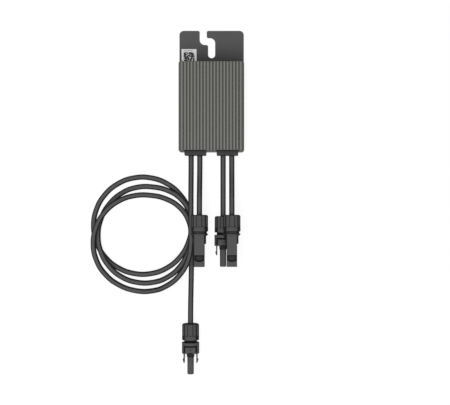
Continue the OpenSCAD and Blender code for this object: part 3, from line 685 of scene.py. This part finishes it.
place = add_node(tree, "ShaderNodeTexCoord")
split = add_node(tree, "ShaderNodeSeparateXYZ")
cells = add_node(tree, "ShaderNodeVectorMath", operation="SNAP")
cells.inputs[1].default_value = (BLOCK, BLOCK, 1)
chance = add_node(tree, "ShaderNodeTexWhiteNoise", noise_dimensions="2D")
printed = add_node(tree, "ShaderNodeMath", operation="LESS_THAN")
printed.inputs[1].default_value = PRINTED_SHARE
tree.links.new(place.outputs["Object"], split.inputs[0])
tree.links.new(place.outputs["Object"], cells.inputs[0])
tree.links.new(cells.outputs[0], chance.inputs["Vector"])
tree.links.new(chance.outputs["Value"], printed.inputs[0])
field_top = label_high[1] - FIELD_DROP
line_top = label_high[1] - LINE_DROP
across = band(split.outputs["X"], label_middle - FIELD_W / 2, label_middle + FIELD_W / 2)
along = band(split.outputs["Y"], field_top - FIELD_W, field_top)
field = combined("MULTIPLY", combined("MULTIPLY", across, along), printed.outputs[0])
line = combined(
    "MULTIPLY", band(split.outputs["Y"], line_top - LINE_T, line_top),
    band(split.outputs["X"], label_middle - FIELD_W / 2, label_middle - FIELD_W / 2 + LINE_W),
)
colour_over(film, combined("ADD", field, line), LABEL_INK)
dress(film, "id_label")

# The electronics inside: a green board with its inductor, capacitors, transistors and terminals,
# soldered to it and hidden by the housing. The stripped copper of each lead ends in a terminal.
board_mask = finish_material(
    "board_mask", dark=(0.01, 0.07, 0.03), light=(0.02, 0.11, 0.05),
    rough=(0.35, 0.5), gloss=0.5, scale=900, depth=0.00004,
)
ferrite = finish_material(
    "ferrite", dark=(0.02, 0.02, 0.022), light=(0.035, 0.035, 0.037),
    rough=(0.6, 0.75), gloss=0.3, scale=1300, depth=0.00005,
)
copper = finish_material(
    "winding_copper", dark=(0.55, 0.24, 0.12), light=(0.68, 0.34, 0.2),
    rough=(0.3, 0.45), gloss=0.5, scale=900, depth=0.00005, metal=1.0,
)
capacitor_case = finish_material(
    "capacitor_case", dark=(0.25, 0.2, 0.07), light=(0.32, 0.26, 0.1),
    rough=(0.45, 0.6), gloss=0.4, scale=800, depth=0.00004,
)
chip_case = finish_material(
    "chip_case", dark=(0.012, 0.012, 0.013), light=(0.022, 0.022, 0.022),
    rough=(0.5, 0.65), gloss=0.4, scale=1500, depth=0.00003,
)
pad_silicone = finish_material(
    "pad_silicone", dark=(0.25, 0.27, 0.3), light=(0.32, 0.34, 0.37),
    rough=(0.7, 0.85), gloss=0.3, scale=600, depth=0.00006,
)
strands = finish_material(
    "bare_strands", dark=(0.6, 0.28, 0.15), light=(0.72, 0.38, 0.23),
    rough=(0.25, 0.4), gloss=0.5, scale=1200, depth=0.00002, metal=1.0,
)

# Round ridges side by side: the turns of a winding, the strands of a core, the threads of a cloth,
# with painted shade in the valleys between them
VALLEY_SHADE_FROM, VALLEY_SHADE_FULL = 0.5, 0.05
rows, rows_in, rows_out = effect_group(
    "ridge_rows", {"Pitch": 0.001, "Across X": 0.0, "Across Y": 0.0, "Across Z": 1.0},
    ["Height", "Valley Shade"],
)
rows_place = add_node(rows, "ShaderNodeTexCoord")
rows_across = add_node(rows, "ShaderNodeCombineXYZ")
rows_along = add_node(rows, "ShaderNodeVectorMath", operation="DOT_PRODUCT")
rows_count = add_node(rows, "ShaderNodeMath", operation="DIVIDE")
rows_phase = add_node(rows, "ShaderNodeMath", operation="MULTIPLY")
rows_phase.inputs[1].default_value = math.pi
rows_wave = add_node(rows, "ShaderNodeMath", operation="SINE")
rows_height = add_node(rows, "ShaderNodeMath", operation="ABSOLUTE")
rows_valley_shade = add_node(rows, "ShaderNodeMapRange")
rows_valley_shade.inputs["From Min"].default_value = VALLEY_SHADE_FROM
rows_valley_shade.inputs["From Max"].default_value = VALLEY_SHADE_FULL
for side in "XYZ":
    rows.links.new(rows_in.outputs["Across " + side], rows_across.inputs[side])
rows.links.new(rows_place.outputs["Object"], rows_along.inputs[0])
rows.links.new(rows_across.outputs[0], rows_along.inputs[1])
rows.links.new(rows_along.outputs["Value"], rows_count.inputs[0])
rows.links.new(rows_in.outputs["Pitch"], rows_count.inputs[1])
rows.links.new(rows_count.outputs[0], rows_phase.inputs[0])
rows.links.new(rows_phase.outputs[0], rows_wave.inputs[0])
rows.links.new(rows_wave.outputs[0], rows_height.inputs[0])
rows.links.new(rows_height.outputs[0], rows_valley_shade.inputs["Value"])
rows.links.new(rows_height.outputs[0], rows_out.inputs["Height"])
rows.links.new(rows_valley_shade.outputs["Result"], rows_out.inputs["Valley Shade"])


def lay_rows(material, across, pitch, depth, valley_shade):
    """Lays ridges over a material under its grain, with painted shade in their valleys."""
    tree = material.node_tree
    ridges = add_node(tree, "ShaderNodeGroup", node_tree=rows)
    ridges.inputs["Pitch"].default_value = pitch
    for side, share in zip("XYZ", across):
        ridges.inputs["Across " + side].default_value = share
    relief = add_node(tree, "ShaderNodeBump", Strength=0.8, Distance=depth)
    normal = tree.nodes["Bump"].inputs["Normal"]
    if normal.is_linked:
        tree.links.new(normal.links[0].from_socket, relief.inputs["Normal"])
    tree.links.new(ridges.outputs["Height"], relief.inputs["Height"])
    tree.links.new(relief.outputs["Normal"], normal)
    colour_over(material, ridges.outputs["Valley Shade"], valley_shade)


WIRE_PITCH = 0.0011
STRAND_PITCH = 0.0005
THREAD_PITCH = 0.0008
# Each ridge layer paints shade into the valleys between its ridges.
lay_rows(copper, (0, 0, 1), WIRE_PITCH, depth=0.0003, valley_shade=(0.16, 0.06, 0.03))
lay_rows(strands, (1, 0.35, 0.4), STRAND_PITCH, depth=0.0001, valley_shade=(0.2, 0.08, 0.04))
lay_rows(pad_silicone, (1, 0, 0), THREAD_PITCH, depth=0.00008, valley_shade=(0.2, 0.22, 0.25))
lay_rows(pad_silicone, (0, 1, 0), THREAD_PITCH, depth=0.00008, valley_shade=(0.22, 0.24, 0.27))

# Copper tracks that show through the board's mask, and tinned pads
CELL_SCALE = 170.0
CELL_SPREAD = 0.4
TRACK_SHARE, PAD_SHARE = 0.07, 0.13
tree = board_mask.node_tree
place = add_node(tree, "ShaderNodeTexCoord")
for feature, share, tone in (
    ("DISTANCE_TO_EDGE", TRACK_SHARE, (0.03, 0.2, 0.08)), ("F1", PAD_SHARE, (0.5, 0.5, 0.48)),
):
    cells = add_node(
        tree, "ShaderNodeTexVoronoi", feature=feature, Scale=CELL_SCALE, Randomness=CELL_SPREAD,
    )
    inked = add_node(tree, "ShaderNodeMath", operation="LESS_THAN")
    inked.inputs[1].default_value = share
    tree.links.new(place.outputs["Object"], cells.inputs["Vector"])
    tree.links.new(cells.outputs["Distance"], inked.inputs[0])
    colour_over(board_mask, inked.outputs[0], tone)
# Painted light greys the tops of the chip cases.
paint_top_light(chip_case, (0.03, 0.03, 0.031), start=0.8, full=0.95)
rub_edges(capacitor_case, (0.4, 0.34, 0.16), reach=0.0004, amount=0.5)
rub_edges(ferrite, (0.06, 0.06, 0.062), reach=0.0004, amount=0.6)
dress(board_mask, "circuit_board")
dress(ferrite, "inductor_core", "signal_transformer")
dress(copper, "inductor_winding")
dress(strands, "copper_cores")
dress(capacitor_case, "input_capacitors", "output_capacitors")
dress(chip_case, "power_transistors", "controller_chip")
dress(pad_silicone, "thermal_pad")
dress(tinned, "cable_terminals")

# The table: a plain pale sheet that fades to white in the picture and keeps a faint shadow. It is
# translucent and shows only from above, so that the back of the optimizer can be seen from below.
TABLE_SIZE = 6
TABLE_GLOW = 0.9


def seen_directly(tree, ray):
    """1 for what the camera sees by itself, in a gloss or through something clear."""
    direct = add_node(tree, "ShaderNodeMath", operation="MAXIMUM")
    shown = add_node(tree, "ShaderNodeMath", operation="MAXIMUM")
    tree.links.new(ray.outputs["Is Camera Ray"], direct.inputs[0])
    tree.links.new(ray.outputs["Is Glossy Ray"], direct.inputs[1])
    tree.links.new(direct.outputs[0], shown.inputs[0])
    tree.links.new(ray.outputs["Is Transmission Ray"], shown.inputs[1])
    return shown.outputs[0]


bpy.ops.mesh.primitive_plane_add(size=TABLE_SIZE, location=(0, 0, 0))
table = bpy.context.object
table.name = "pale_table"
table_finish = bpy.data.materials.new("pale_table")
table_finish.use_nodes = True
tree = table_finish.node_tree
tree.nodes.clear()
ray = add_node(tree, "ShaderNodeLightPath")
paper = add_node(tree, "ShaderNodeBsdfDiffuse", Color=(0.15, 0.15, 0.15, 1))
glow = add_node(tree, "ShaderNodeEmission", Color=(1, 1, 1, 1), Strength=TABLE_GLOW)
pale = add_node(tree, "ShaderNodeAddShader")
plain = add_node(tree, "ShaderNodeBsdfDiffuse", Color=(0.5, 0.5, 0.5, 1))
pick = add_node(tree, "ShaderNodeMixShader")
side = add_node(tree, "ShaderNodeNewGeometry")
through = add_node(tree, "ShaderNodeMath", operation="MAXIMUM")
clear = add_node(tree, "ShaderNodeBsdfTransparent", Color=(1, 1, 1, 1))
top_only = add_node(tree, "ShaderNodeMixShader")
out = add_node(tree, "ShaderNodeOutputMaterial")
tree.links.new(seen_directly(tree, ray), pick.inputs[0])
tree.links.new(paper.outputs[0], pale.inputs[0])
tree.links.new(glow.outputs[0], pale.inputs[1])
tree.links.new(plain.outputs[0], pick.inputs[1])
tree.links.new(pale.outputs[0], pick.inputs[2])
tree.links.new(side.outputs["Backfacing"], through.inputs[0])
tree.links.new(ray.outputs["Is Shadow Ray"], through.inputs[1])
tree.links.new(through.outputs[0], top_only.inputs[0])
tree.links.new(pick.outputs[0], top_only.inputs[1])
tree.links.new(clear.outputs[0], top_only.inputs[2])
tree.links.new(top_only.outputs[0], out.inputs["Surface"])
table.data.materials.append(table_finish)
table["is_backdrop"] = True

# The light: a long narrow soft box over the table, in line with the ribs and a little to the left,
# a weaker one under the table that lights the back, and a dim even room round them.
SOFT_BOX_W, SOFT_BOX_L, SOFT_BOX_POWER = 0.6, 2.4, 21
SOFT_BOX_PLACE = (-0.15, -0.75, 1.4)
UNDER_BOX_W, UNDER_BOX_POWER = 1.6, 15
UNDER_BOX_PLACE = (0, -0.17, -0.8)
ROOM_LIGHT, ROOM_SEEN = 0.15, 1.0
box_data = bpy.data.lights.new("soft_box", "AREA")
box_data.shape = "RECTANGLE"
box_data.size = SOFT_BOX_W
box_data.size_y = SOFT_BOX_L
box_data.energy = SOFT_BOX_POWER
soft_box = bpy.data.objects.new("soft_box", box_data)
soft_box.location = SOFT_BOX_PLACE
scene.collection.objects.link(soft_box)
soft_box.visible_camera = False
under_data = bpy.data.lights.new("under_box", "AREA")
under_data.shape = "SQUARE"
under_data.size = UNDER_BOX_W
under_data.energy = UNDER_BOX_POWER
under_box = bpy.data.objects.new("under_box", under_data)
under_box.location = UNDER_BOX_PLACE
under_box.rotation_euler = (math.pi, 0, 0)
scene.collection.objects.link(under_box)
under_box.visible_camera = False

room = bpy.data.worlds.new("dim_room")
scene.world = room
room.use_nodes = True
tree = room.node_tree
ray = add_node(tree, "ShaderNodeLightPath")
level = add_node(tree, "ShaderNodeMapRange")
level.inputs["To Min"].default_value = ROOM_LIGHT
level.inputs["To Max"].default_value = ROOM_SEEN
tree.links.new(seen_directly(tree, ray), level.inputs["Value"])
backdrop = tree.nodes["Background"]
backdrop.inputs["Color"].default_value = (1, 1, 1, 1)
tree.links.new(level.outputs["Result"], backdrop.inputs["Strength"])

bpy.context.view_layer.update()
low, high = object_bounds()
